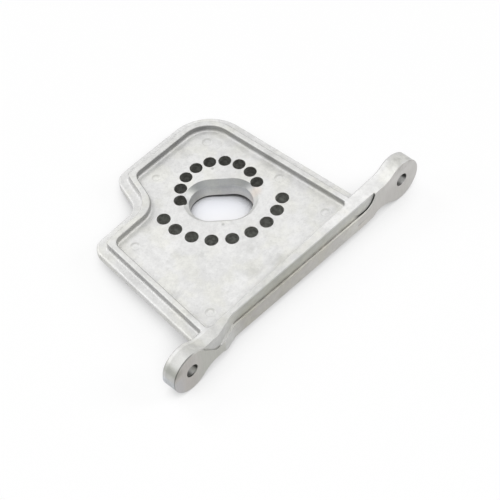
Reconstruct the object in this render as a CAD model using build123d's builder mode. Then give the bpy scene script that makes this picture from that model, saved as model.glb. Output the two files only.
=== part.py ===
from build123d import *
import math
import os

# A cast aluminium mounting plate for an electric motor, lying on its motor side.
# X runs along the foot, Y away from the foot, Z up through the plate.
# The origin is the motor axis in its middle gear position, in the plane of the motor seat.

# Motor screws: nine pairs of holes, one pair for each gear position.
screw_spacing = 25.0
gear_positions = 9
gear_step = 0.633
travel_bearing = -45.9
first_pair_turn = 2.5
inner_hole_pitch = 3.76
inner_hole_diameter = 3.2
outer_hole_diameter = 3.4

# Opening for the motor boss and the pinion, drawn out along the line of travel.
opening_wall = 0.44
opening_chamfer = 1.3

# Motor seat: the thick part of the floor, round all the screw holes.
seat_thickness = 4.6
seat_margin = 2.2
seat_edge_chamfer = 0.6

# Plate: a flange with a bead that stands back from its edge.
flange_thickness = 2.0
ledge_width = 2.5
bead_width = 1.7
bead_height = 2.0

# Plan of the plate: three free corners and the notch between two of them. The two sides
# run down to the foot, and meet its face at these distances from the ear centres.
shoulder_corner = (-30.8, 14.0)
notch_corner = (-15.4, 14.0)
head_left_corner = (-11.75, 24.95)
head_right_corner = (19.8, 23.95)
shoulder_radius = 3.5
notch_radius = 4.0
head_left_radius = 4.0
head_right_radius = 11.5
left_side_gap = 4.7
right_side_gap = 11.9
bead_corner_radius = 1.5
pocket_corner_radius = 2.2
pocket_notch_radius = 6.4
pocket_front_radius = 1.0

# Foot: a bar that stands on edge, with an ear at each end. It is deeper along its keel than
# at the two necks beside the ears. The keel's ends slant.
foot_face_y = -28.9
foot_depth = 4.4
keel_underside_z = -1.5
neck_underside_z = -0.5
keel_left_gap = 1.8
keel_right_gap = 0.4
keel_end_run = 2.0
foot_rim_thickness = 3.5
ear_spacing = 74.5
ear_middle_x = -3.25
ear_centre_z = 2.5
ear_radius = 5.85
ear_hole_diameter = 3.6
ear_hole_rise = 0.35
ear_top_blend = 4.5
ear_bottom_blend = 8.0
ear_back_chamfer = 0.4
flange_root_radius = 1.5
flange_root_sink = 0.5

# Relief in the face of the foot, between the ears. Its wall starts near the face on the
# left, bends back, and comes forward again on a slant. The reaches are distances from the
# nearer ear centre.
relief_left_reach = 4.0
relief_bend_start_reach = 9.6
relief_bend_end_reach = 15.9
relief_right_reach = 9.6
relief_floor_z = 2.85
relief_left_floor_z = 2.35
relief_left_depth = 0.3
relief_bend_depth = 2.05
relief_right_depth = 0.45
relief_bend_radius = 4.0
relief_left_radius = 2.0
relief_right_radius = 3.9
relief_step = 0.7

# Narrow gap at the foot of the relief's wall. It is open left of the bend, and again from
# the bend to the right end, where it widens until only a thin lip stands in front of it.
gap_width = 0.2
gap_lip = 0.12
gap_depth = 1.0
gap_roof = 0.5

# Small cast radii.
root_radius = 0.4
edge_radius = 0.4

# Sizes that follow from the ones above.
floor_z = seat_thickness
bead_top_z = floor_z + bead_height
flange_underside_z = floor_z - flange_thickness
pair_reach = screw_spacing / 2
travel = gear_step * (gear_positions - 1)
foot_back_y = foot_face_y + foot_depth
pocket_front_y = foot_face_y + foot_rim_thickness
pocket_inset = ledge_width + bead_width
opening_radius = pair_reach - travel - inner_hole_diameter / 2 - opening_wall
left_ear_x = ear_middle_x - ear_spacing / 2
right_ear_x = ear_middle_x + ear_spacing / 2
ear_places = [(left_ear_x, ear_centre_z), (right_ear_x, ear_centre_z)]
ear_hole_places = [(x, z + ear_hole_rise) for x, z in ear_places]
neck_drop = ear_centre_z - neck_underside_z
neck_reach = math.sqrt((ear_radius + ear_bottom_blend) ** 2 - (neck_drop + ear_bottom_blend) ** 2)
keel_left_x = left_ear_x + neck_reach + keel_left_gap
keel_right_x = right_ear_x - neck_reach - keel_right_gap
left_side_run = shoulder_corner[0] - (left_ear_x + left_side_gap)
left_side_lean = left_side_run / (shoulder_corner[1] - foot_face_y)
right_side_run = right_ear_x - right_side_gap - head_right_corner[0]
right_side_lean = right_side_run / (head_right_corner[1] - foot_face_y)
relief_left_x = left_ear_x + relief_left_reach
relief_bend_start_x = left_ear_x + relief_bend_start_reach
relief_bend_end_x = left_ear_x + relief_bend_end_reach
relief_right_x = right_ear_x - relief_right_reach
clear = 1.0


def direction(bearing):
    """Unit vector in the plane of the plate, from a bearing in degrees."""
    return Vector(math.cos(math.radians(bearing)), math.sin(math.radians(bearing)))


def screw_pairs():
    """Inner and outer hole centres for each gear position.

    The two holes of a pair face each other across the motor axis. From one position to the
    next the axis moves back by a gear step, and the inner hole moves on by one pitch.
    """
    bearing = travel_bearing - first_pair_turn
    places = []
    for position in range(gear_positions):
        axis = direction(travel_bearing) * (travel / 2 - position * gear_step)
        if places:
            arm = axis - places[-1][0]
            cosine = (arm.length**2 + pair_reach**2 - inner_hole_pitch**2) / (2 * arm.length * pair_reach)
            bearing = math.degrees(math.atan2(arm.Y, arm.X) - math.acos(cosine))
        places.append((axis - direction(bearing) * pair_reach, axis + direction(bearing) * pair_reach))
    return places


def plate_plan(inset, front_y, corner_radius, reentrant_radius, front_radius=0):
    """Plan of the plate, its free sides moved in by the inset and its front side at front_y.

    A convex corner loses the inset from its radius, down to the corner radius. The notch
    has the reentrant radius.
    """
    drawn_front_y = front_y - inset
    left_run = shoulder_corner[1] - drawn_front_y
    right_run = head_right_corner[1] - drawn_front_y
    front_left = (shoulder_corner[0] - left_run * left_side_lean, drawn_front_y)
    front_right = (head_right_corner[0] + right_run * right_side_lean, drawn_front_y)
    corner_radii = [
        (shoulder_corner, max(shoulder_radius - inset, corner_radius)),
        (notch_corner, reentrant_radius),
        (head_left_corner, max(head_left_radius - inset, corner_radius)),
        (head_right_corner, max(head_right_radius - inset, corner_radius)),
    ]
    if front_radius > 0:
        corner_radii += [(front_left, front_radius), (front_right, front_radius)]
    with BuildSketch() as plan:
        with BuildLine():
            Polyline(
                front_left,
                shoulder_corner,
                notch_corner,
                head_left_corner,
                head_right_corner,
                front_right,
                close=True,
            )
        make_face()
        if inset > 0:
            offset(amount=-inset, kind=Kind.INTERSECTION, mode=Mode.REPLACE)
        for corner, radius in corner_radii:
            fillet(plan.vertices().sort_by_distance(corner)[0], radius)
    return plan.sketch


def relief_plan(forward, forward_right):
    """Plan of the relief, from its wall out past the face of the foot.

    The wall is moved forward, out of the foot, by the first amount, and at its right end
    by the second.
    """
    wall_y = foot_face_y - forward
    front_y = foot_face_y - relief_step - clear
    with BuildSketch() as plan:
        with BuildLine():
            wall = FilletPolyline(
                (ear_places[0][0], wall_y + relief_left_depth),
                (relief_bend_start_x, wall_y + relief_left_depth),
                (relief_bend_end_x, wall_y + relief_bend_depth),
                (relief_right_x + gap_depth + clear, foot_face_y - forward_right + relief_right_depth),
                radius=relief_bend_radius,
            )
            Polyline(wall @ 1, ((wall @ 1).X, front_y), ((wall @ 0).X, front_y), wall @ 0)
        make_face()
    return plan.sketch


pairs = screw_pairs()
inner_places = [inner for inner, outer in pairs]
outer_places = [outer for inner, outer in pairs]
foot_plane = Plane.XZ.offset(-foot_face_y)

flange_plan = plate_plan(0, foot_face_y, bead_corner_radius, notch_radius)
bead_plan = plate_plan(ledge_width, foot_face_y, bead_corner_radius, notch_radius + ledge_width)
pocket_plan = plate_plan(
    pocket_inset, pocket_front_y, pocket_corner_radius, pocket_notch_radius, pocket_front_radius
)
relief_wall_plan = relief_plan(0, 0)
relief_gap_plan = relief_plan(gap_width, relief_right_depth - gap_lip)
relief_step_plan = relief_plan(relief_step, relief_step)

# Front view of the relief, up past the top of the foot. Its left side slants at 45 degrees.
relief_top_z = bead_top_z + clear
with BuildSketch() as relief_view:
    with BuildLine():
        rim = FilletPolyline(
            (relief_left_x - clear, relief_top_z),
            (relief_left_x + bead_top_z - relief_left_floor_z, relief_left_floor_z),
            (relief_bend_end_x, relief_floor_z),
            (relief_right_x, relief_floor_z),
            (relief_right_x, relief_top_z),
            radius=[relief_left_radius, relief_left_radius, relief_right_radius],
        )
        Line(rim @ 1, rim @ 0)
    make_face()

# Upper part of the relief: its plan, kept inside its front view.
with BuildPart() as upper_relief:
    with BuildSketch(Plane.XY.offset(relief_left_floor_z)):
        add(relief_wall_plan)
    extrude(amount=relief_top_z - relief_left_floor_z)
    with BuildSketch(foot_plane):
        add(relief_view.sketch)
    extrude(amount=foot_depth, both=True, mode=Mode.INTERSECT)

# Lower part of the relief, which leaves a step below the upper one.
with BuildPart() as lower_relief:
    with BuildSketch(Plane.XY.offset(relief_floor_z)):
        add(relief_step_plan)
    extrude(amount=-(relief_floor_z - keel_underside_z) - clear)

# Gap: a thin layer in front of the wall, reaching past the edge of the front view. It stays
# closed along the top of the foot.
with BuildPart() as parting_gap:
    with BuildSketch(Plane.XY.offset(relief_left_floor_z - gap_depth)):
        add(relief_wall_plan)
        add(relief_gap_plan, mode=Mode.SUBTRACT)
        with Locations((relief_bend_start_x, foot_face_y)):
            bend_run = relief_bend_end_x - relief_bend_start_x
            Rectangle(bend_run, 2 * foot_depth, align=(Align.MIN, Align.CENTER), mode=Mode.SUBTRACT)
    extrude(amount=bead_top_z - gap_roof - relief_left_floor_z + gap_depth)
    with BuildSketch(foot_plane):
        add(relief_view.sketch)
        offset(amount=gap_depth, kind=Kind.ARC, mode=Mode.REPLACE)
    extrude(amount=foot_depth, both=True, mode=Mode.INTERSECT)

# Foot bar and ears, in one profile that is drawn on the face of the foot.
with BuildPart() as foot:
    with BuildSketch(foot_plane) as foot_profile:
        with Locations((ear_middle_x, (neck_underside_z + bead_top_z) / 2)):
            Rectangle(ear_spacing, bead_top_z - neck_underside_z)
        with Locations(*ear_places):
            Circle(ear_radius)
        fillet(foot_profile.vertices().group_by(Axis.Y)[-1], ear_top_blend)
        fillet(foot_profile.vertices().group_by(Axis.Y)[0], ear_bottom_blend)
        with BuildLine():
            Polyline(
                (keel_left_x, neck_underside_z),
                (keel_left_x + keel_end_run, keel_underside_z),
                (keel_right_x - keel_end_run, keel_underside_z),
                (keel_right_x, neck_underside_z),
                close=True,
            )
        make_face()
    extrude(amount=-foot_depth)
    chamfer(foot.faces().sort_by(Axis.Y)[-1].edges(), ear_back_chamfer)

# Pocket inside the bead, rounded along its floor.
with BuildPart() as pocket:
    with BuildSketch(Plane.XY.offset(floor_z)):
        add(pocket_plan)
    extrude(amount=bead_height)
    fillet(pocket.faces().sort_by(Axis.Z)[0].edges(), root_radius)

with BuildPart() as motor_mount:
    # Flange, flared where its sides run into the foot.
    with BuildSketch(Plane.XY.offset(flange_underside_z)) as flange_sketch:
        add(flange_plan)
        with Locations((ear_middle_x, foot_face_y)):
            Rectangle(ear_spacing, foot_depth - flange_root_sink, align=(Align.CENTER, Align.MIN))
        root_y = foot_back_y - flange_root_sink
        root_corners = flange_sketch.vertices().filter_by_position(Axis.Y, root_y, root_y)
        fillet(root_corners.sort_by(Axis.X)[1:3], flange_root_radius)
    extrude(amount=flange_thickness)
    free_edges = motor_mount.edges().filter_by_position(Axis.Y, foot_back_y, head_left_corner[1])
    fillet(free_edges.filter_by_position(Axis.Z, floor_z, floor_z), edge_radius)

    # Bead, as a solid block until the pocket is cut.
    with BuildSketch(Plane.XY.offset(floor_z)):
        add(bead_plan)
    extrude(amount=bead_height)
    bead_edges = motor_mount.edges(Select.LAST).filter_by_position(Axis.Y, foot_back_y, head_left_corner[1])
    fillet(bead_edges.filter_by_position(Axis.Z, floor_z, floor_z), root_radius)
    bead_edges = motor_mount.edges().filter_by_position(Axis.Y, foot_back_y, head_left_corner[1])
    fillet(bead_edges.filter_by_position(Axis.Z, bead_top_z, bead_top_z), edge_radius)

    # Foot with its ears.
    add(foot.part)

    # Pocket inside the bead.
    add(pocket.part, mode=Mode.SUBTRACT)
    pocket_edges = motor_mount.edges(Select.LAST).filter_by_position(Axis.Z, bead_top_z, bead_top_z)
    fillet(pocket_edges, edge_radius)

    # Motor seat under the floor, wrapped round the screw holes.
    with BuildSketch(Plane.XY.offset(flange_underside_z)):
        with Locations(*inner_places, *outer_places):
            Circle(outer_hole_diameter / 2 + seat_margin)
        make_hull()
    extrude(amount=-flange_underside_z)
    chamfer(motor_mount.edges(Select.LAST).filter_by_position(Axis.Z, 0, 0), seat_edge_chamfer)

    # Relief in the foot, with the gap at the foot of its wall.
    add(upper_relief.part, mode=Mode.SUBTRACT)
    add(lower_relief.part, mode=Mode.SUBTRACT)
    add(parting_gap.part, mode=Mode.SUBTRACT)

    # Opening with a wide chamfer on the floor side.
    with BuildSketch(Plane.XY.offset(floor_z)):
        SlotCenterToCenter(travel, 2 * opening_radius, rotation=travel_bearing)
    extrude(amount=-seat_thickness, mode=Mode.SUBTRACT)
    chamfer(motor_mount.edges(Select.LAST).filter_by_position(Axis.Z, floor_z, floor_z), opening_chamfer)

    # Screw holes for the motor and for the foot.
    with Locations(*inner_places):
        Hole(inner_hole_diameter / 2)
    with Locations(*outer_places):
        Hole(outer_hole_diameter / 2)
    with Locations(foot_plane):
        with Locations(*ear_hole_places):
            Hole(ear_hole_diameter / 2)

os.makedirs("parts", exist_ok=True)
motor_mount.part.label = "motor_mount"
export_step(motor_mount.part, "parts/motor_mount.step")
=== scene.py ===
import math

import bmesh
import bpy
from mathutils import Matrix, Vector


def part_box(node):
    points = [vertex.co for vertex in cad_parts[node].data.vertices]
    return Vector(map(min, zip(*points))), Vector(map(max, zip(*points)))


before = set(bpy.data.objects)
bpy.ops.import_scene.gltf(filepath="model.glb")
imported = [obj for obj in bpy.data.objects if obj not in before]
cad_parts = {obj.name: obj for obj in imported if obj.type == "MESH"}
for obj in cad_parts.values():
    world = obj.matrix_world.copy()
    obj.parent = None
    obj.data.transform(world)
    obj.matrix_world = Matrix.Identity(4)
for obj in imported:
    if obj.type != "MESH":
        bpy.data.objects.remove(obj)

bl_info = {
    "name": "Cast motor mount",
    "version": (1, 0, 0),
    "blender": (4, 5, 0),
    "location": "View3D > Sidebar > Motor mount",
    "description": "Finishes a cast aluminium motor mount and sets it on a pale table",
    "category": "Object",
}

CASTING = "motor_mount"
MM = 0.001

# Places on the casting, in millimetres, in its own frame.
FACE_Y = -28.9
FOOT_BACK_Y = -24.5
SEAT_EDGE_Y = 15.5
FLOOR_Z = 4.6
TOP_Z = 6.6
LEFT_EAR_X = -40.5
RIGHT_EAR_X = 34.0
EAR_HOLE_Z = 2.85
EAR_HOLE_RADIUS = 1.8
POCKET_FRONT_X = (-32.0, 21.5)
LEFT_BEAD_X = (-28.2, -27.5)
HEAD_Y = (11.0, 13.0)

# Screw holes: nine pairs that face each other across the motor axis, as in the casting.
SCREW_PAIRS = 9
PAIR_REACH = 12.5
GEAR_STEP = 0.633
INNER_HOLE_PITCH = 3.76
TRAVEL_BEARING = math.radians(-45.9)
FIRST_PAIR_TURN = math.radians(2.5)
INNER_HOLE_RADIUS = 1.6
OUTER_HOLE_RADIUS = 1.7

# Opening: a slot with a wide chamfer, drawn out along the line of travel.
OPENING_REACH = GEAR_STEP * (SCREW_PAIRS - 1) / 2
OPENING_WALL = 0.44
OPENING_RADIUS = PAIR_REACH - 2 * OPENING_REACH - INNER_HOLE_RADIUS - OPENING_WALL
OPENING_CHAMFER = 1.3

# Relief in the foot: its floor, its slanting wall, and the round corner at its right end.
RELIEF_FLOOR_Z = 2.85
RELIEF_WALL_START = (LEFT_EAR_X + 15.9, FACE_Y + 2.05)
RELIEF_WALL_SLOPE = -0.0314
RELIEF_RIGHT_X = RIGHT_EAR_X - 9.6
RELIEF_CORNER_RADIUS = 3.9
RELIEF_CORNER = (RELIEF_RIGHT_X - RELIEF_CORNER_RADIUS, RELIEF_FLOOR_Z + RELIEF_CORNER_RADIUS)

# Gap at the foot of the relief's wall: how far in front of the wall it lies, and how far its
# round end and the lip before that end lie beyond the corner's radius.
GAP_LAYER = (-0.05, 0.42)
GAP_END = (0.02, 0.9)
GAP_LIP = (-0.1, 0.52)

# Shallow round marks that the ejector pins left in the floor: centre and radius.
PIN_MARKS = (
    (11.3, 15.3, 1.25),
    (-5.2, 17.1, 1.0),
    (14.2, -6.5, 1.25),
    (13.4, -22.4, 1.25),
    (-23.8, 6.0, 1.2),
    (-26.5, -21.6, 1.25),
)

# Small dark spots in the floor, and a warm stain beside the opening: centre and radius.
DARK_SPOTS = ((5.9, 8.4, 0.45), (-5.2, -5.7, 0.45))
WARM_STAIN = (7.5, -4.6, 2.3)

# Dull stains in the skin of the floor: centre and radius.
STAINS = (
    (-18.6, -3.6, 1.6),
    (-15.3, -8.0, 1.3),
    (-6.8, -15.9, 1.5),
    (-4.8, -23.3, 2.6),
    (-28.3, -11.5, 2.0),
    (-18.3, 8.0, 1.6),
    (5.4, 17.2, 2.2),
    (16.0, -1.0, 2.6),
    (-29.8, -19.5, 1.8),
    (-11.0, -21.1, 2.0),
)

# What the colour of the metal is multiplied by, place by place.
TINTS = {
    "warm skin": (1.0, 0.998, 0.965),
    "pits of the grain": (0.92, 0.92, 0.92),
    "stains": (0.9, 0.9, 0.895),
    # Painted shade on the walls near the head that face the front; bead tops a little darker.
    "head wall": (0.7, 0.7, 0.7),
    "bead top": (0.94, 0.94, 0.93),
    # Painted light on the opening's chamfer, painted shade on its far side and left end, and
    # painted shade on the opening's wall.
    "chamfer": (1.06, 1.06, 1.05),
    "far chamfer": (0.39, 0.4, 0.41),
    "left chamfer": (0.84, 0.85, 0.86),
    "opening wall": (0.8, 0.815, 0.84),
    "left opening wall": (0.6, 0.6, 0.6),
    # Painted shade on the far half of the rims of the pin marks.
    "painted shade on the pin mark rims": (0.76, 0.76, 0.75),
    "dark spots": (0.7, 0.7, 0.69),
    "warm stain": (0.97, 0.9, 0.85),
    # Painted shade on the foot towards its left end and on its face between the ears, and painted
    # light on the foot top at the right.
    "foot towards its left end": (0.86, 0.86, 0.845),
    "foot top at the right": (1.13, 1.13, 1.13),
    "relief wall": (0.78, 0.785, 0.735),
    "upper relief wall": (0.7, 0.71, 0.67),
    "face below the relief": (0.8, 0.78, 0.745),
    "smudges on the right ear": (0.8, 0.8, 0.79),
    # Painted shade that blackens the round end of the gap.
    "round end of the gap": (0.05, 0.05, 0.05),
    # Painted shade in a band round the left ear and painted light below it, and a painted dark line
    # of shade along the edge of its face.
    "band round the left ear": (0.69, 0.7, 0.665),
    "left ear below the band": (1.02, 1.05, 1.11),
    "painted shade line of the left ear": (0.34, 0.34, 0.33),
    "face of the left ear": (1.0, 0.975, 0.97),
    "face of the left neck": (0.965, 0.985, 0.955),
    "face of the right ear": (0.885, 0.88, 0.87),
    "back edge of the left ear": (0.82, 0.82, 0.82),
    # Painted shade in a dark line low on the foot's face, and painted light on the face below it.
    "keel line": (0.7, 0.7, 0.68),
    "face below the keel line": (1.07, 1.06, 1.04),
    # Painted shade at the ends of the ear holes.
    "ends of the ear holes": (0.08, 0.08, 0.075),
    # Painted shade in the screw holes, with a random mottle.
    "inner screw holes": (0.68, 0.68, 0.665),
    "outer screw holes": (0.92, 0.93, 0.91),
    "dark mottle of the holes": (0.72, 0.71, 0.68),
    "light mottle of the holes": (1.24, 1.26, 1.22),
}
# Painted light in patches along the gap at the foot of the relief's wall.
GAP_PAINTED_LIGHT = (0.88, 0.865, 0.845)

# Sizes of the patches, the grain and the other mottling of the metal, in millimetres.
BROAD_PATCH_SIZE = 7.0
SMALL_PATCH_SIZE = 1.5
WARM_PATCH_SIZE = 6.0
WARM_PATCH_SHIFT = (40.0, 10.0, 0.0)
SMUDGE_SIZE = 2.2
GAP_LIGHT_SIZE = 1.2
HOLE_MOTTLE_SIZE = 0.9
WAVE_SIZE = 3.0
STREAK_SIZE = 0.3
STREAK_STRETCH = (1.0, 1.0, 12.0)

# Share of the broad patches in the skin, and what colours are multiplied by where they are
# dullest and lightest.
BROAD_SHARE = 0.45
DULL_PATCH_LEVEL = 0.9
LIGHT_PATCH_LEVEL = 1.06
DULL_STREAK_LEVEL = 0.95
# What the colour inside the screw holes is multiplied by at their rims, as painted shade.
HOLE_RIM_SHADE_LEVEL = 0.6

# Heights of the bump, in millimetres.
GRAIN_HEIGHT = 0.035
WAVE_HEIGHT = 0.06
STREAK_HEIGHT = 0.01
CUT_MEAN_HEIGHT = 0.0425
PIN_MARK_DEPTH = 0.05

# Lamps: bearing and rise in degrees, and diameter in metres.
LEFT_LAMP = (135, 30, 0.4)
RIGHT_LAMP = (-45, 30, 0.4)
BACK_LAMP = (90, 50, 0.4)
FRONT_LAMP = (-135, 60, 0.8)

# Table: how open it is where its wide shade is full and where that ends, and where the deep
# shade under the opening starts and is full.
WIDE_SHADE = (-0.29, 0.85)
DEEP_SHADE = (0.47, 0.3)

# Table under the opening: its rim and its middle in metres, the bearing of its far half, and
# the colours of its two halves, painted light in the near half and a painted bluish shade in the
# far half.
OPENING_LIGHT_RIM = (0.0105, 0.009)
MIDDLE_OF_LIGHT = (-0.004, 0.004)
FAR_BEARING = (0.656, 0.755, 0.0)
NEAR_LIGHT = (1.03, 1.03, 1.04)
FAR_LIGHT = (0.975, 0.99, 1.05)
WHITE = (1.0, 1.0, 1.0)


class MountFinishAndShadeSettings(bpy.types.PropertyGroup):
    """Colours and sizes of the finish on the casting and of the shade painted into it."""

    metal_colour: bpy.props.FloatVectorProperty(
        name="Metal colour",
        description="Colour of the bare cast metal",
        default=(0.725, 0.724, 0.717),
        size=3,
        min=0.0,
        max=1.0,
        subtype="COLOR",
    )
    machined_colour: bpy.props.FloatVectorProperty(
        name="Machined colour",
        description="Colour of the faces that were cut flat",
        default=(0.66, 0.645, 0.625),
        size=3,
        min=0.0,
        max=1.0,
        subtype="COLOR",
    )
    # Painted shade: the dark colour inside the screw holes.
    bore_shade_colour: bpy.props.FloatVectorProperty(
        name="Bore colour",
        description="Colour inside the screw holes, which were left dark with cutting oil",
        default=(0.36, 0.36, 0.35),
        size=3,
        min=0.0,
        max=1.0,
        subtype="COLOR",
    )
    # Painted shade on the steep walls of the pocket and the bead.
    painted_wall_shade: bpy.props.FloatProperty(
        name="Wall darkness",
        description="How much darker the steep walls of the pocket and the bead are",
        default=0.56,
        min=0.0,
        max=1.0,
        subtype="FACTOR",
    )
    metalness: bpy.props.FloatProperty(
        name="Metalness",
        description="Share of the surface that shines as clean metal",
        default=0.3,
        min=0.0,
        max=1.0,
        subtype="FACTOR",
    )
    skin_roughness: bpy.props.FloatProperty(
        name="Skin roughness",
        description="Roughness of the skin that the mould left",
        default=0.5,
        min=0.0,
        max=1.0,
        subtype="FACTOR",
    )
    grain_size: bpy.props.FloatProperty(
        name="Grain size",
        description="Size of the fine grain in the cast skin",
        default=0.0004,
        min=0.0001,
        unit="LENGTH",
    )
    edge_radius: bpy.props.FloatProperty(
        name="Edge radius",
        description="Radius to which the edges of the casting look rounded",
        default=0.0002,
        min=0.0,
        unit="LENGTH",
    )


class MountStageSettings(bpy.types.PropertyGroup):
    """Sizes and levels of the table, the lamps and the camera."""

    table_size: bpy.props.FloatProperty(
        name="Table size",
        description="Length of each side of the table top",
        default=0.6,
        min=0.1,
        unit="LENGTH",
    )
    table_colour: bpy.props.FloatVectorProperty(
        name="Table colour",
        description="Colour of the plain pale table top",
        default=(0.6, 0.6, 0.605),
        size=3,
        min=0.0,
        max=1.0,
        subtype="COLOR",
    )
    contact_reach: bpy.props.FloatProperty(
        name="Contact reach",
        description="How near to the casting the table stays in shade",
        default=0.012,
        min=0.0,
        unit="LENGTH",
    )
    table_lift: bpy.props.FloatProperty(
        name="Table lift",
        description="Share of the white of the table top that doesn't come from the lamps",
        default=0.87,
        min=0.0,
        max=1.0,
        subtype="FACTOR",
    )
    lamp_distance: bpy.props.FloatProperty(
        name="Lamp distance",
        description="How far the lamps hang from the casting",
        default=0.9,
        min=0.1,
        unit="LENGTH",
    )
    left_power: bpy.props.FloatProperty(
        name="Left lamp power",
        description="Power of the soft lamp low at the left",
        default=1.75,
        min=0.0,
        unit="POWER",
    )
    right_power: bpy.props.FloatProperty(
        name="Right lamp power",
        description="Power of the soft lamp low at the right",
        default=3.1,
        min=0.0,
        unit="POWER",
    )
    back_power: bpy.props.FloatProperty(
        name="Back lamp power",
        description="Power of the soft lamp high behind the plate",
        default=1.9,
        min=0.0,
        unit="POWER",
    )
    front_power: bpy.props.FloatProperty(
        name="Front lamp power",
        description="Power of the broad soft lamp high above the camera",
        default=4.0,
        min=0.0,
        unit="POWER",
    )
    fill_level: bpy.props.FloatProperty(
        name="Fill level",
        description="Level of the light that comes from all round",
        default=0.14,
        min=0.0,
    )
    camera_place: bpy.props.FloatVectorProperty(
        name="Camera place",
        description="Where the camera stands",
        default=(-0.23491, -0.26836, 0.43907),
        size=3,
        subtype="TRANSLATION",
        unit="LENGTH",
    )
    camera_turn: bpy.props.FloatVectorProperty(
        name="Camera turn",
        description="How the camera is turned",
        default=(math.radians(37.8819), math.radians(3.9301), math.radians(-47.1521)),
        size=3,
        subtype="EULER",
        unit="ROTATION",
    )
    focal_length: bpy.props.FloatProperty(
        name="Focal length",
        description="Focal length of the lens in millimetres, on a sensor 36 mm wide",
        default=165.6,
        min=1.0,
    )


def math_node(tree, operation, *values):
    """A Math node. Its inputs are sockets or numbers."""
    node = tree.nodes.new("ShaderNodeMath")
    node.operation = operation
    for socket, value in zip(node.inputs, values):
        if isinstance(value, bpy.types.NodeSocket):
            tree.links.new(value, socket)
        else:
            socket.default_value = value
    return node.outputs["Value"]


def combine(tree, operation, values):
    """Some values joined one after another by a Math operation."""
    result = values[0]
    for value in values[1:]:
        result = math_node(tree, operation, result, value)
    return result


def product(tree, *values):
    """The product of some values, which for masks is where all of them are one."""
    return combine(tree, "MULTIPLY", values)


def vector_node(tree, operation, first, second, output="Vector"):
    """A Vector Math node of one vector and a constant."""
    node = tree.nodes.new("ShaderNodeVectorMath")
    node.operation = operation
    tree.links.new(first, node.inputs[0])
    if operation == "SCALE":
        node.inputs["Scale"].default_value = second
    else:
        node.inputs[1].default_value = second
    return node.outputs[output]


def ramp(tree, value, low, high, low_out=0.0, high_out=1.0):
    """A smooth step from one level to another between two values of the input."""
    node = tree.nodes.new("ShaderNodeMapRange")
    node.interpolation_type = "SMOOTHSTEP"
    tree.links.new(value, node.inputs["Value"])
    node.inputs["From Min"].default_value = low
    node.inputs["From Max"].default_value = high
    node.inputs["To Min"].default_value = low_out
    node.inputs["To Max"].default_value = high_out
    return node.outputs["Result"]


def band(tree, value, low, high, soft):
    """One between two values of the input, and zero outside them."""
    rise = ramp(tree, value, low - soft, low + soft)
    fall = ramp(tree, value, high - soft, high + soft, 1.0, 0.0)
    return product(tree, rise, fall)


def noise(tree, place, size, detail=2.0, roughness=0.5, stretch=(1.0, 1.0, 1.0)):
    """Noise with features of the given size in millimetres, drawn out by the stretch."""
    node = tree.nodes.new("ShaderNodeTexNoise")
    scale = vector_node(tree, "MULTIPLY", place, tuple(1.0 / (size * s) for s in stretch))
    tree.links.new(scale, node.inputs["Vector"])
    node.inputs["Scale"].default_value = 1.0
    node.inputs["Detail"].default_value = detail
    node.inputs["Roughness"].default_value = roughness
    return node.outputs["Fac"]


def mix_node(tree, blend_type, factor, first, second):
    """A Mix node of two colours, each a socket or a plain colour."""
    node = tree.nodes.new("ShaderNodeMix")
    node.data_type = "RGBA"
    node.blend_type = blend_type
    tree.links.new(factor, node.inputs["Factor"])
    colour_inputs = [socket for socket in node.inputs if socket.type == "RGBA"]
    for socket, value in zip(colour_inputs, (first, second)):
        if isinstance(value, bpy.types.NodeSocket):
            tree.links.new(value, socket)
        else:
            socket.default_value = (*value, 1.0)
    return [socket for socket in node.outputs if socket.type == "RGBA"][0]


def mix_colour(tree, factor, first, second):
    """The first colour where the factor is zero, and the second where it is one."""
    return mix_node(tree, "MIX", factor, first, second)


def tint(tree, colour, mask, levels):
    """The colour multiplied by a named tint, or by a colour, where the mask is one."""
    if isinstance(levels, str):
        levels = TINTS[levels]
    return mix_node(tree, "MULTIPLY", mask, colour, levels)


def at_level(colour, level):
    """A plain colour times a level, no part of it above one."""
    return tuple(min(1.0, part * level) for part in colour)


def screw_places():
    """Centres of the inner and the outer screw holes, as in the casting, in millimetres."""
    travel = Vector((math.cos(TRAVEL_BEARING), math.sin(TRAVEL_BEARING)))
    bearing = TRAVEL_BEARING - FIRST_PAIR_TURN
    inner_places = []
    outer_places = []
    for position in range(SCREW_PAIRS):
        axis = travel * (OPENING_REACH - position * GEAR_STEP)
        if inner_places:
            arm = axis - inner_places[-1]
            squares = arm.length**2 + PAIR_REACH**2 - INNER_HOLE_PITCH**2
            turn = math.acos(squares / (2 * arm.length * PAIR_REACH))
            bearing = math.atan2(arm.y, arm.x) - turn
        arm = Vector((math.cos(bearing), math.sin(bearing))) * PAIR_REACH
        inner_places.append(axis - arm)
        outer_places.append(axis + arm)
    return inner_places, outer_places


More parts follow.
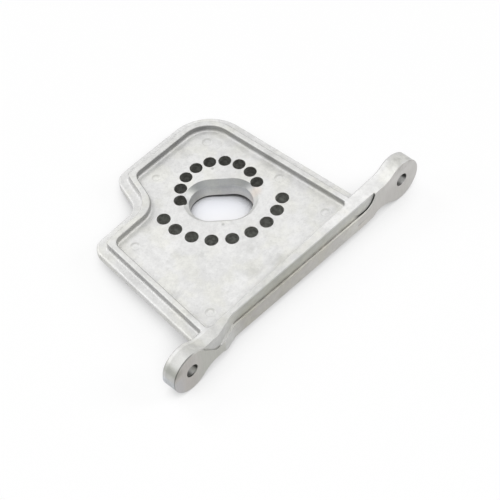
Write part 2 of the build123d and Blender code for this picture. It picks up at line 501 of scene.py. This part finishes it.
class CastingCoordinates:
    """Sockets that tell where a point of the casting lies, in millimetres."""

    def __init__(self, tree):
        source = tree.nodes.new("ShaderNodeTexCoord")
        self.tree = tree
        self.place = vector_node(tree, "SCALE", source.outputs["Object"], 1.0 / MM)
        split = tree.nodes.new("ShaderNodeSeparateXYZ")
        tree.links.new(self.place, split.inputs["Vector"])
        self.x, self.y, self.z = split.outputs
        self.plan = vector_node(tree, "MULTIPLY", self.place, (1.0, 1.0, 0.0))
        self.front = vector_node(tree, "MULTIPLY", self.place, (1.0, 0.0, 1.0))
        facing = tree.nodes.new("ShaderNodeSeparateXYZ")
        tree.links.new(source.outputs["Normal"], facing.inputs["Vector"])
        self.facing_back = facing.outputs["Y"]
        self.facing_up = facing.outputs["Z"]

    def plan_distance(self, centre):
        """Distance in plan from an upright line."""
        point = (centre[0], centre[1], 0.0)
        return vector_node(self.tree, "DISTANCE", self.plan, point, "Value")

    def rim_distance(self, marks):
        """Distance in plan outside the rim of the nearest of some round marks."""
        distances = [
            math_node(self.tree, "SUBTRACT", self.plan_distance((x, y)), radius)
            for x, y, radius in marks
        ]
        return combine(self.tree, "MINIMUM", distances)

    def front_distance(self, centre):
        """Distance in front view from a line along Y."""
        point = (centre[0], 0.0, centre[1])
        return vector_node(self.tree, "DISTANCE", self.front, point, "Value")

    def along_opening(self):
        """Distance in plan along the long axis of the opening."""
        along = (math.cos(TRAVEL_BEARING), math.sin(TRAVEL_BEARING), 0.0)
        return vector_node(self.tree, "DOT_PRODUCT", self.plan, along, "Value")

    def across_opening(self):
        """Distance in plan from the long axis of the opening."""
        across = (-math.sin(TRAVEL_BEARING), math.cos(TRAVEL_BEARING), 0.0)
        return vector_node(self.tree, "DOT_PRODUCT", self.plan, across, "Value")

    def opening_distance(self):
        """Distance in plan from the line between the two centres of the opening."""
        along = math_node(self.tree, "ABSOLUTE", self.along_opening())
        across = self.across_opening()
        beyond = math_node(self.tree, "SUBTRACT", along, OPENING_REACH)
        beyond = math_node(self.tree, "MAXIMUM", beyond, 0.0)
        beyond = math_node(self.tree, "POWER", beyond, 2.0)
        square = math_node(self.tree, "MULTIPLY_ADD", across, across, beyond)
        return math_node(self.tree, "SQRT", square)


def bore_mask(tree, distances, radius):
    """One inside the nearest of some holes, with a narrow soft rim, and zero elsewhere."""
    rim = 0.03
    return ramp(tree, combine(tree, "MINIMUM", distances), radius + rim, radius)


def parting_gap(tree, spot):
    """Masks of the narrow gap at the foot of the relief's wall: its long run and its round end."""
    start_x, start_y = RELIEF_WALL_START
    corner_x = RELIEF_CORNER[0]
    wall_y = start_y - RELIEF_WALL_SLOPE * start_x
    wall = math_node(tree, "MULTIPLY_ADD", spot.x, RELIEF_WALL_SLOPE, wall_y)
    layer = band(tree, math_node(tree, "SUBTRACT", wall, spot.y), *GAP_LAYER, 0.01)
    below_floor = ramp(tree, spot.z, RELIEF_FLOOR_Z + 0.02, RELIEF_FLOOR_Z - 0.05)
    run = product(tree, layer, below_floor, band(tree, spot.x, start_x, corner_x, 0.05))
    beyond = math_node(tree, "SUBTRACT", spot.front_distance(RELIEF_CORNER), RELIEF_CORNER_RADIUS)
    end = band(tree, beyond, *GAP_END, 0.04)
    lip = band(tree, beyond, *GAP_LIP, 0.03)
    behind_face = ramp(tree, spot.y, FACE_Y + 0.02, FACE_Y + 0.06)
    hidden = math_node(tree, "MAXIMUM", behind_face, lip)
    below_top = ramp(tree, spot.z, TOP_Z - 0.1, TOP_Z - 0.2)
    right = ramp(tree, spot.x, corner_x - 4.0, corner_x)
    return run, product(tree, layer, end, hidden, below_top, right)


def steep_walls(tree, spot):
    """One on the steep walls of the pocket and the bead, where shade is painted, fading towards
    their foot, and on a band at their root.
    """
    foot_level = 0.3
    root_level = 0.3
    steep = ramp(tree, math_node(tree, "ABSOLUTE", spot.facing_up), 0.995, 0.7)
    above_floor = ramp(tree, spot.z, FLOOR_Z + 0.01, FLOOR_Z + 0.05)
    raised = ramp(tree, spot.z, FLOOR_Z, FLOOR_Z + 0.9, foot_level, 1.0)
    wall = product(tree, steep, raised, above_floor)
    root = band(tree, spot.z, FLOOR_Z + 0.02, FLOOR_Z + 0.45, 0.02)
    root = product(tree, root, ramp(tree, spot.facing_up, 0.9995, 0.98, 0.0, root_level))
    behind_foot = ramp(tree, spot.y, FOOT_BACK_Y, FOOT_BACK_Y + 0.1)
    behind_rim = ramp(tree, spot.y, FOOT_BACK_Y - 0.45, FOOT_BACK_Y - 0.4)
    pocket = product(tree, behind_rim, band(tree, spot.x, *POCKET_FRONT_X, 0.2))
    inside = math_node(tree, "MAXIMUM", behind_foot, pocket)
    not_back = ramp(tree, spot.facing_back, 0.4, 0.15)
    return product(tree, math_node(tree, "MAXIMUM", wall, root), inside, not_back)


def pin_mark_rim_shade(tree, spot):
    """One on the far half of the rims of the pin marks, where shade is painted."""
    across, away = 0.6, 0.8
    inner_width, outer_width = 0.5, 0.1
    depth = math_node(tree, "ADD", product(tree, spot.x, across), product(tree, spot.y, away))
    rims = []
    for x, y, radius in PIN_MARKS:
        distance = spot.plan_distance((x, y))
        rim = band(tree, distance, radius - inner_width, radius + outer_width, 0.15)
        middle = across * x + away * y
        far = ramp(tree, depth, middle - 0.3 * radius, middle + 0.8 * radius)
        rims.append(product(tree, rim, far))
    return combine(tree, "MAXIMUM", rims)


def skin_colour(tree, spot, settings, small, grain):
    """Colour of the cast skin: broad and small patches, warm areas and the pits of the grain."""
    metal = tuple(settings.metal_colour)
    broad = noise(tree, spot.place, BROAD_PATCH_SIZE, detail=4.0, roughness=0.6)
    patches = product(tree, small, 1.0 - BROAD_SHARE)
    patches = math_node(tree, "MULTIPLY_ADD", broad, BROAD_SHARE, patches)
    dull, light = at_level(metal, DULL_PATCH_LEVEL), at_level(metal, LIGHT_PATCH_LEVEL)
    colour = mix_colour(tree, ramp(tree, patches, 0.36, 0.64), dull, light)
    elsewhere = vector_node(tree, "ADD", spot.place, WARM_PATCH_SHIFT)
    warmth = noise(tree, elsewhere, WARM_PATCH_SIZE)
    colour = tint(tree, colour, ramp(tree, warmth, 0.45, 0.65), "warm skin")
    return tint(tree, colour, ramp(tree, grain, 0.5, 0.3), "pits of the grain")


def stain_floor(tree, spot, colour, small):
    """Adds the dull stains of the floor, with rims that the small patches make ragged."""
    raggedness = 1.2
    reaches = [math_node(tree, "DIVIDE", spot.plan_distance((x, y)), size) for x, y, size in STAINS]
    stains = math_node(tree, "SUBTRACT", combine(tree, "MINIMUM", reaches), raggedness / 2)
    ragged = math_node(tree, "MULTIPLY_ADD", small, raggedness, stains)
    return tint(tree, colour, ramp(tree, ragged, 1.3, 0.2), "stains")


def cut_faces(tree, colour, settings, cut, streaks):
    """Gives the faces that were cut flat their own colour, with the streaks of the cutter."""
    machined = tuple(settings.machined_colour)
    dull = at_level(machined, DULL_STREAK_LEVEL)
    cut_colour = mix_colour(tree, ramp(tree, streaks, 0.35, 0.65), dull, machined)
    return mix_colour(tree, cut, colour, cut_colour)


def shade_walls(tree, spot, colour, settings):
    """Paints shade on the steep walls, least on the outside of the left bead and most on the walls
    near the head that face the front, and darkens the bead tops a little, away from the foot.
    """
    level = 1.0 - settings.painted_wall_shade
    outside_level = 0.75
    left_bead = ramp(tree, spot.x, *LEFT_BEAD_X, outside_level, 1.0)
    walls = product(tree, steep_walls(tree, spot), left_bead)
    colour = tint(tree, colour, walls, (level, level, level))
    facing_front = ramp(tree, spot.facing_back, -0.45, -0.85)
    head_wall = product(tree, walls, facing_front, ramp(tree, spot.y, *HEAD_Y))
    colour = tint(tree, colour, head_wall, "head wall")
    high = ramp(tree, spot.z, TOP_Z - 0.3, TOP_Z - 0.1)
    bead_top = product(tree, high, ramp(tree, spot.y, FOOT_BACK_Y, FOOT_BACK_Y + 4.5))
    return tint(tree, colour, bead_top, "bead top")


def shade_opening(tree, spot, colour):
    """Paints light on the opening's chamfer and shade on its far side and left end, and paints
    shade on its wall, most at the top and at its left end.
    """
    far_side = (2.0, 5.2)
    left_end = (-3.0, -7.0)
    left_wall_end = (-3.0, -6.5)
    beyond_near_side = (-2.0, 1.0)
    wall_z = (0.5, 3.3)
    opening = spot.opening_distance()
    along = spot.along_opening()
    across = spot.across_opening()
    chamfer_end = OPENING_RADIUS + OPENING_CHAMFER
    chamfer = band(tree, opening, OPENING_RADIUS + 0.02, chamfer_end, 0.03)
    far = product(tree, chamfer, ramp(tree, across, *far_side))
    colour = tint(tree, colour, far, "far chamfer")
    colour = tint(tree, colour, chamfer, "chamfer")
    left = ramp(tree, along, *left_end)
    left = product(tree, chamfer, left, ramp(tree, across, *beyond_near_side))
    colour = tint(tree, colour, left, "left chamfer")
    wall = ramp(tree, opening, OPENING_RADIUS + 0.04, OPENING_RADIUS + 0.01)
    colour = tint(tree, colour, product(tree, wall, ramp(tree, spot.z, *wall_z)), "opening wall")
    left_wall = product(tree, wall, ramp(tree, along, *left_wall_end))
    return tint(tree, colour, left_wall, "left opening wall")


def mark_and_shade_floor(tree, spot, colour):
    """Adds painted shade on the far half of the rims of the pin marks, the small dark spots and the
    warm stain.
    """
    colour = tint(tree, colour, pin_mark_rim_shade(tree, spot), "painted shade on the pin mark rims")
    spots = ramp(tree, spot.rim_distance(DARK_SPOTS), 0.1, -0.3)
    colour = tint(tree, colour, spots, "dark spots")
    x, y, radius = WARM_STAIN
    warm = ramp(tree, spot.plan_distance((x, y)), radius, 0.4)
    return tint(tree, colour, warm, "warm stain")


def shade_foot(tree, spot, colour):
    """Paints shade on the foot towards its left end, in its relief most of all, paints light on the
    foot top at the right, and adds smudges to the top of the right ear.
    """
    towards_left = (30.0, -35.0)
    foot = ramp(tree, spot.y, FOOT_BACK_Y - 1.0, FOOT_BACK_Y - 1.3)
    leftwards = product(tree, foot, ramp(tree, spot.x, *towards_left))
    colour = tint(tree, colour, leftwards, "foot towards its left end")

    bright_top_x = (8.0, 28.0)
    above_foot = ramp(tree, spot.y, FOOT_BACK_Y + 1.5, FOOT_BACK_Y - 0.5)
    level = ramp(tree, spot.facing_up, 0.7, 0.9)
    right_top = product(tree, band(tree, spot.x, *bright_top_x, 6.0), above_foot, level)
    colour = tint(tree, colour, right_top, "foot top at the right")

    relief_x = (-24.0, 28.0)
    shade_fade_x = (24.0, 4.0)
    right_share = 0.35
    upper_z = (3.6, 5.4)
    upper_x = (-16.0, -4.0)
    below_top = ramp(tree, spot.z, TOP_Z - 0.4, TOP_Z - 0.6)
    between_ears = band(tree, spot.x, *relief_x, 3.0)
    deeper_shade = ramp(tree, spot.x, *shade_fade_x, right_share, 1.0)
    foot_shade = product(tree, between_ears, deeper_shade, foot, below_top)
    upper = product(tree, ramp(tree, spot.z, *upper_z), ramp(tree, spot.x, *upper_x))
    wall_tint = mix_colour(tree, upper, TINTS["relief wall"], TINTS["upper relief wall"])
    below_relief = ramp(tree, spot.z, RELIEF_FLOOR_Z + 0.05, RELIEF_FLOOR_Z)
    face_tint = mix_colour(tree, below_relief, wall_tint, TINTS["face below the relief"])
    colour = tint(tree, colour, foot_shade, face_tint)

    faintest_smudge = 0.3
    smudges = noise(tree, spot.place, SMUDGE_SIZE, detail=3.0)
    smudges = ramp(tree, smudges, 0.42, 0.62, faintest_smudge, 1.0)
    right_ear = ramp(tree, spot.x, RIGHT_EAR_X - 5.0, RIGHT_EAR_X - 1.0)
    ear_top = product(tree, right_ear, ramp(tree, spot.z, TOP_Z - 0.8, TOP_Z), smudges)
    return tint(tree, colour, ear_top, "smudges on the right ear")


def shade_gap(tree, spot, colour):
    """Paints light in patches along the gap at the foot of the relief, and paints shade on its
    round end, which it blackens.
    """
    least_gap_light, most_gap_light = 0.15, 0.7
    run, round_end = parting_gap(tree, spot)
    gap_light = ramp(tree, noise(tree, spot.place, GAP_LIGHT_SIZE), 0.35, 0.65, least_gap_light, most_gap_light)
    colour = mix_colour(tree, product(tree, run, gap_light), colour, GAP_PAINTED_LIGHT)
    return tint(tree, colour, round_end, "round end of the gap")


def shade_ears(tree, spot, colour, cut):
    """Paints shade in a band round the outer side of the left ear and light below the band, a dark
    line of shade along the edge of the left ear's face and a darker back edge, and tints the faces
    of the ears, the right one darker towards the bottom.
    """
    band_z = (4.9, 6.8)
    below_band_z = (4.2, 3.0)
    outer_side = ramp(tree, spot.x, LEFT_EAR_X - 2.0, LEFT_EAR_X - 4.5)
    shoulder = product(tree, outer_side, band(tree, spot.z, *band_z, 0.8))
    colour = tint(tree, colour, shoulder, "band round the left ear")
    low_side = product(tree, outer_side, ramp(tree, spot.z, *below_band_z))
    colour = tint(tree, colour, low_side, "left ear below the band")

    edge_shade_width = 0.36
    edge_shade = band(tree, spot.y, FACE_Y + 0.02, FACE_Y + edge_shade_width, 0.03)
    edge_shade = product(tree, edge_shade, band(tree, spot.x, LEFT_EAR_X - 6.0, LEFT_EAR_X + 1.0, 1.0))
    colour = tint(tree, colour, edge_shade, "painted shade line of the left ear")

    neck_x = (-38.0, -29.0)
    left_face = product(tree, cut, ramp(tree, spot.x, LEFT_EAR_X + 4.0, LEFT_EAR_X - 1.5))
    colour = tint(tree, colour, left_face, "face of the left ear")
    neck_face = product(tree, cut, band(tree, spot.x, *neck_x, 2.0))
    colour = tint(tree, colour, neck_face, "face of the left neck")

    downwards = (5.5, 2.0)
    outer_share = 0.3
    right_span = ramp(tree, spot.x, RIGHT_EAR_X - 9.0, RIGHT_EAR_X - 3.0)
    right_fade = ramp(tree, spot.x, RIGHT_EAR_X, RIGHT_EAR_X + 6.0, 1.0, outer_share)
    right_face = product(tree, cut, right_span, right_fade, ramp(tree, spot.z, *downwards))
    colour = tint(tree, colour, right_face, "face of the right ear")

    back_edge = ramp(tree, spot.y, FOOT_BACK_Y - 0.42, FOOT_BACK_Y - 0.38)
    back_edge = product(tree, back_edge, outer_side)
    return tint(tree, colour, back_edge, "back edge of the left ear")


def shade_keel(tree, spot, colour, cut):
    """Paints a faint dark line of shade low on the foot's face, right of its middle, and paints
    light on the face below it.
    """
    line_x = (13.5, 20.5)
    line_slope = 0.055
    line_z = (-0.78, -0.5)
    below_z = (-0.7, -0.95)
    height = math_node(tree, "MULTIPLY_ADD", spot.x, -line_slope, spot.z)
    keel = product(tree, cut, band(tree, spot.x, *line_x, 2.5))
    line = product(tree, keel, band(tree, height, *line_z, 0.08))
    colour = tint(tree, colour, line, "keel line")
    below = product(tree, keel, ramp(tree, height, *below_z))
    return tint(tree, colour, below, "face below the keel line")


def shade_ear_holes(tree, spot, colour):
    """Paints shade in the holes of the ears, most at their upper right and lower left."""
    across, upwards = 0.8, 0.6
    upper_end = (0.2, 1.1)
    lower_end = (-0.5, -1.4)
    lower_share = 0.8
    reach = 3.0
    places = [(x, EAR_HOLE_Z) for x in (LEFT_EAR_X, RIGHT_EAR_X)]
    bores = bore_mask(tree, [spot.front_distance(place) for place in places], EAR_HOLE_RADIUS)
    bores = product(tree, bores, ramp(tree, spot.y, FACE_Y + 0.02, FACE_Y + 0.1))
    slope = math_node(tree, "MULTIPLY_ADD", spot.z, upwards, product(tree, spot.x, across))
    ends = []
    for x, z in places:
        slant = math_node(tree, "SUBTRACT", slope, across * x + upwards * z)
        upper = ramp(tree, slant, *upper_end)
        lower = ramp(tree, slant, *lower_end, 0.0, lower_share)
        near_hole = band(tree, spot.x, x - reach, x + reach, 0.1)
        ends.append(product(tree, math_node(tree, "MAXIMUM", upper, lower), near_hole))
    dark = product(tree, bores, combine(tree, "MAXIMUM", ends))
    return tint(tree, colour, dark, "ends of the ear holes")


def shade_screw_holes(tree, spot, colour, settings):
    """Paints shade in the screw holes, most near their rims and in the inner row, with a random
    mottle.
    """
    rim_z = (1.5, FLOOR_Z)
    inner_places, outer_places = screw_places()
    inner_distances = [spot.plan_distance(place) for place in inner_places]
    outer_distances = [spot.plan_distance(place) for place in outer_places]
    inner = bore_mask(tree, inner_distances, INNER_HOLE_RADIUS)
    outer = bore_mask(tree, outer_distances, OUTER_HOLE_RADIUS)
    both = math_node(tree, "MAXIMUM", inner, outer)
    bore_shade_colour = tuple(settings.bore_shade_colour)
    rim_shade = at_level(bore_shade_colour, HOLE_RIM_SHADE_LEVEL)
    hole_shade = mix_colour(tree, ramp(tree, spot.z, *rim_z), bore_shade_colour, rim_shade)
    colour = mix_colour(tree, both, colour, hole_shade)
    colour = tint(tree, colour, inner, "inner screw holes")
    colour = tint(tree, colour, outer, "outer screw holes")
    mottle = ramp(tree, noise(tree, spot.place, HOLE_MOTTLE_SIZE, detail=3.0), 0.36, 0.64)
    dark, light = TINTS["dark mottle of the holes"], TINTS["light mottle of the holes"]
    return tint(tree, colour, both, mix_colour(tree, mottle, dark, light))


def surface_height(tree, spot, cut, grain, streaks):
    """Height in millimetres of the grain and the waves, the cutter's streaks and the pin marks."""
    waves = noise(tree, spot.place, WAVE_SIZE)
    skin = math_node(tree, "MULTIPLY_ADD", grain, GRAIN_HEIGHT, product(tree, waves, WAVE_HEIGHT))
    skin = product(tree, skin, math_node(tree, "SUBTRACT", 1.0, cut))
    flat = math_node(tree, "MULTIPLY_ADD", streaks, STREAK_HEIGHT, CUT_MEAN_HEIGHT)
    height = math_node(tree, "MULTIPLY_ADD", flat, cut, skin)
    outside_marks = ramp(tree, spot.rim_distance(PIN_MARKS), -0.18, 0.02)
    return math_node(tree, "MULTIPLY_ADD", outside_marks, PIN_MARK_DEPTH, height)


def cast_aluminium(settings):
    """Bare cast metal: mottled skin with a fine grain and flat cut faces, with painted light and
    shade in its colour, darkest in the screw holes.
    """
    material = bpy.data.materials.new("cast_aluminium")
    material.use_nodes = True
    tree = material.node_tree
    shader = tree.nodes["Principled BSDF"]
    shader.inputs["Metallic"].default_value = settings.metalness
    spot = CastingCoordinates(tree)
    small = noise(tree, spot.place, SMALL_PATCH_SIZE, detail=4.0, roughness=0.7)
    grain = noise(tree, spot.place, settings.grain_size / MM, detail=3.0, roughness=0.6)
    streaks = noise(tree, spot.place, STREAK_SIZE, stretch=STREAK_STRETCH)
    cut = ramp(tree, spot.y, FACE_Y + 0.03, FACE_Y + 0.01)

    colour = skin_colour(tree, spot, settings, small, grain)
    colour = stain_floor(tree, spot, colour, small)
    colour = cut_faces(tree, colour, settings, cut, streaks)
    colour = shade_walls(tree, spot, colour, settings)
    colour = shade_opening(tree, spot, colour)
    colour = mark_and_shade_floor(tree, spot, colour)
    colour = shade_foot(tree, spot, colour)
    colour = shade_gap(tree, spot, colour)
    colour = shade_ears(tree, spot, colour, cut)
    colour = shade_keel(tree, spot, colour, cut)
    colour = shade_ear_holes(tree, spot, colour)
    colour = shade_screw_holes(tree, spot, colour, settings)
    tree.links.new(colour, shader.inputs["Base Color"])

    # Roughness varies a little with the skin, and is lower on the cut faces.
    spread = 0.06
    smoother = 0.08
    low, high = settings.skin_roughness - spread, settings.skin_roughness + spread
    rough = ramp(tree, small, 0.3, 0.7, low, high)
    rough = math_node(tree, "MULTIPLY_ADD", cut, -smoother, rough)
    tree.links.new(rough, shader.inputs["Roughness"])

    bevel = tree.nodes.new("ShaderNodeBevel")
    bevel.samples = 4
    bevel.inputs["Radius"].default_value = settings.edge_radius
    bump = tree.nodes.new("ShaderNodeBump")
    bump.inputs["Strength"].default_value = 1.0
    bump.inputs["Distance"].default_value = MM
    height = surface_height(tree, spot, cut, grain, streaks)
    tree.links.new(height, bump.inputs["Height"])
    tree.links.new(bevel.outputs["Normal"], bump.inputs["Normal"])
    tree.links.new(bump.outputs["Normal"], shader.inputs["Normal"])
    return material


class FinishAndShadeCasting(bpy.types.Operator):
    """Gives the casting its bare metal finish, with painted light and shade in its colour"""

    bl_idname = "mount.finish_casting"
    bl_label = "Finish the casting"

    def execute(self, context):
        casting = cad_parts[CASTING]
        material = cast_aluminium(context.scene.mount_finish)
        for slot in casting.material_slots:
            slot.material = material
        return {"FINISHED"}


def seen_directly(tree):
    """One for rays that come from the camera, a glossy surface or glass."""
    path = tree.nodes.new("ShaderNodeLightPath")
    kinds = ("Is Camera Ray", "Is Glossy Ray", "Is Transmission Ray")
    return combine(tree, "MAXIMUM", [path.outputs[kind] for kind in kinds])


def table_material(settings):
    """Plain pale table top that shows as near white and keeps the shadow of the casting."""
    material = bpy.data.materials.new("table_top")
    material.use_nodes = True
    tree = material.node_tree
    shader = tree.nodes["Principled BSDF"]
    seen = seen_directly(tree)
    shown = (1.0 - settings.table_lift,) * 3
    colour = mix_colour(tree, seen, tuple(settings.table_colour), shown)
    tree.links.new(colour, shader.inputs["Base Color"])
    shader.inputs["Roughness"].default_value = 1.0
    shader.inputs["Specular IOR Level"].default_value = 0.0

    # White that is lifted where the table is open, and not under the edges of the casting, where
    # this paints a shadow.
    contact = tree.nodes.new("ShaderNodeAmbientOcclusion")
    contact.samples = 16
    contact.inputs["Distance"].default_value = settings.contact_reach
    openness = contact.outputs["AO"]
    wide = ramp(tree, openness, *WIDE_SHADE, 0.0, settings.table_lift)
    place = tree.nodes.new("ShaderNodeTexCoord").outputs["Object"]
    radius = vector_node(tree, "LENGTH", place, (0.0, 0.0, 0.0), "Value")
    under_opening = ramp(tree, radius, *OPENING_LIGHT_RIM)
    deep = product(tree, ramp(tree, openness, *DEEP_SHADE), under_opening)
    strength = product(tree, wide, math_node(tree, "SUBTRACT", 1.0, deep), seen)
    depth = vector_node(tree, "DOT_PRODUCT", place, FAR_BEARING, "Value")
    far = product(tree, under_opening, ramp(tree, depth, *MIDDLE_OF_LIGHT))
    light = mix_colour(tree, under_opening, WHITE, mix_colour(tree, far, NEAR_LIGHT, FAR_LIGHT))
    lift = tree.nodes.new("ShaderNodeEmission")
    tree.links.new(light, lift.inputs["Color"])
    tree.links.new(strength, lift.inputs["Strength"])
    top = tree.nodes.new("ShaderNodeAddShader")
    tree.links.new(shader.outputs["BSDF"], top.inputs[0])
    tree.links.new(lift.outputs["Emission"], top.inputs[1])

    # Clear from below, so that the underside of the casting can be looked at.
    clear = tree.nodes.new("ShaderNodeBsdfTransparent")
    side = tree.nodes.new("ShaderNodeNewGeometry")
    mix = tree.nodes.new("ShaderNodeMixShader")
    tree.links.new(side.outputs["Backfacing"], mix.inputs["Fac"])
    tree.links.new(top.outputs["Shader"], mix.inputs[1])
    tree.links.new(clear.outputs["BSDF"], mix.inputs[2])
    tree.links.new(mix.outputs["Shader"], tree.nodes["Material Output"].inputs["Surface"])
    return material


def add_table(scene, settings):
    """Adds a table top that touches the ears and the far edge of the motor seat."""
    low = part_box(CASTING)[0]
    ears = Vector((0.0, FOOT_BACK_Y * MM, low.z))
    seat = Vector((0.0, SEAT_EDGE_Y * MM, 0.0))
    lean = math.atan2(seat.z - ears.z, seat.y - ears.y)
    mesh = bpy.data.meshes.new("table_top")
    shape = bmesh.new()
    bmesh.ops.create_grid(shape, x_segments=1, y_segments=1, size=settings.table_size / 2)
    corners = shape.verts[:]
    bmesh.ops.translate(shape, verts=corners, vec=(0.0, -ears.y, 0.0))
    bmesh.ops.rotate(shape, verts=corners, cent=(0, 0, 0), matrix=Matrix.Rotation(lean, 3, "X"))
    bmesh.ops.translate(shape, verts=corners, vec=ears)
    shape.to_mesh(mesh)
    shape.free()
    mesh.materials.append(table_material(settings))
    table = bpy.data.objects.new("table_top", mesh)
    scene.collection.objects.link(table)


def add_lamp(scene, name, aim, distance, power):
    """Adds a soft round lamp that looks at the casting, from its bearing, rise and diameter."""
    azimuth, elevation, diameter = aim
    lamp = bpy.data.lights.new(name, "AREA")
    lamp.shape = "DISK"
    lamp.size = diameter
    lamp.energy = power
    turn = math.radians(azimuth)
    rise = math.radians(elevation)
    flat = math.cos(rise)
    place = Vector((flat * math.cos(turn), flat * math.sin(turn), math.sin(rise))) * distance
    holder = bpy.data.objects.new(name, lamp)
    holder.location = place
    holder.rotation_euler = (-place).to_track_quat("-Z", "Y").to_euler()
    holder.visible_camera = False
    scene.collection.objects.link(holder)


def add_room(scene, settings):
    """Adds even light from all round, white where it is seen or mirrored."""
    world = bpy.data.worlds.new("room")
    world.use_nodes = True
    tree = world.node_tree
    fill = tree.nodes["Background"]
    fill.inputs["Color"].default_value = (*WHITE, 1.0)
    fill.inputs["Strength"].default_value = settings.fill_level
    white = tree.nodes.new("ShaderNodeBackground")
    white.inputs["Color"].default_value = (*WHITE, 1.0)
    white.inputs["Strength"].default_value = 1.0
    mix = tree.nodes.new("ShaderNodeMixShader")
    tree.links.new(seen_directly(tree), mix.inputs["Fac"])
    tree.links.new(fill.outputs["Background"], mix.inputs[1])
    tree.links.new(white.outputs["Background"], mix.inputs[2])
    tree.links.new(mix.outputs["Shader"], tree.nodes["World Output"].inputs["Surface"])
    scene.world = world


def add_camera(scene, settings):
    """Adds the camera and makes it the scene's own."""
    lens = bpy.data.cameras.new("camera")
    lens.sensor_width = 36.0
    lens.lens = settings.focal_length
    lens.clip_start = 0.01
    lens.clip_end = 10.0
    camera = bpy.data.objects.new("camera", lens)
    camera.location = settings.camera_place
    camera.rotation_euler = settings.camera_turn
    scene.collection.objects.link(camera)
    scene.camera = camera


class SetStage(bpy.types.Operator):
    """Puts the casting on a pale table, with soft lamps and the camera"""

    bl_idname = "mount.set_stage"
    bl_label = "Set the stage"

    def execute(self, context):
        scene = context.scene
        settings = scene.mount_stage
        distance = settings.lamp_distance
        add_table(scene, settings)
        add_lamp(scene, "left_lamp", LEFT_LAMP, distance, settings.left_power)
        add_lamp(scene, "right_lamp", RIGHT_LAMP, distance, settings.right_power)
        add_lamp(scene, "back_lamp", BACK_LAMP, distance, settings.back_power)
        add_lamp(scene, "front_lamp", FRONT_LAMP, distance, settings.front_power)
        add_room(scene, settings)
        add_camera(scene, settings)
        scene.view_settings.view_transform = "Standard"
        return {"FINISHED"}


class MountPanel(bpy.types.Panel):
    """Lists the steps and the settings of the motor mount"""

    bl_idname = "VIEW3D_PT_motor_mount"
    bl_label = "Motor mount"
    bl_space_type = "VIEW_3D"
    bl_region_type = "UI"
    bl_category = "Motor mount"

    def draw(self, context):
        layout = self.layout
        for settings in (context.scene.mount_finish, context.scene.mount_stage):
            column = layout.column()
            for name in settings.__annotations__:
                column.prop(settings, name)
        for operator in (FinishAndShadeCasting, SetStage):
            layout.operator(operator.bl_idname)


CLASSES = (MountFinishAndShadeSettings, MountStageSettings, FinishAndShadeCasting, SetStage, MountPanel)


def register():
    for cls in CLASSES:
        bpy.utils.register_class(cls)
    bpy.types.Scene.mount_finish = bpy.props.PointerProperty(type=MountFinishAndShadeSettings)
    bpy.types.Scene.mount_stage = bpy.props.PointerProperty(type=MountStageSettings)


def unregister():
    del bpy.types.Scene.mount_stage
    del bpy.types.Scene.mount_finish
    for cls in reversed(CLASSES):
        bpy.utils.unregister_class(cls)


def main():
    """Runs every step in order."""
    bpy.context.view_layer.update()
    register()
    bpy.ops.mount.finish_casting()
    bpy.ops.mount.set_stage()


if __name__ == "__main__":
    main()
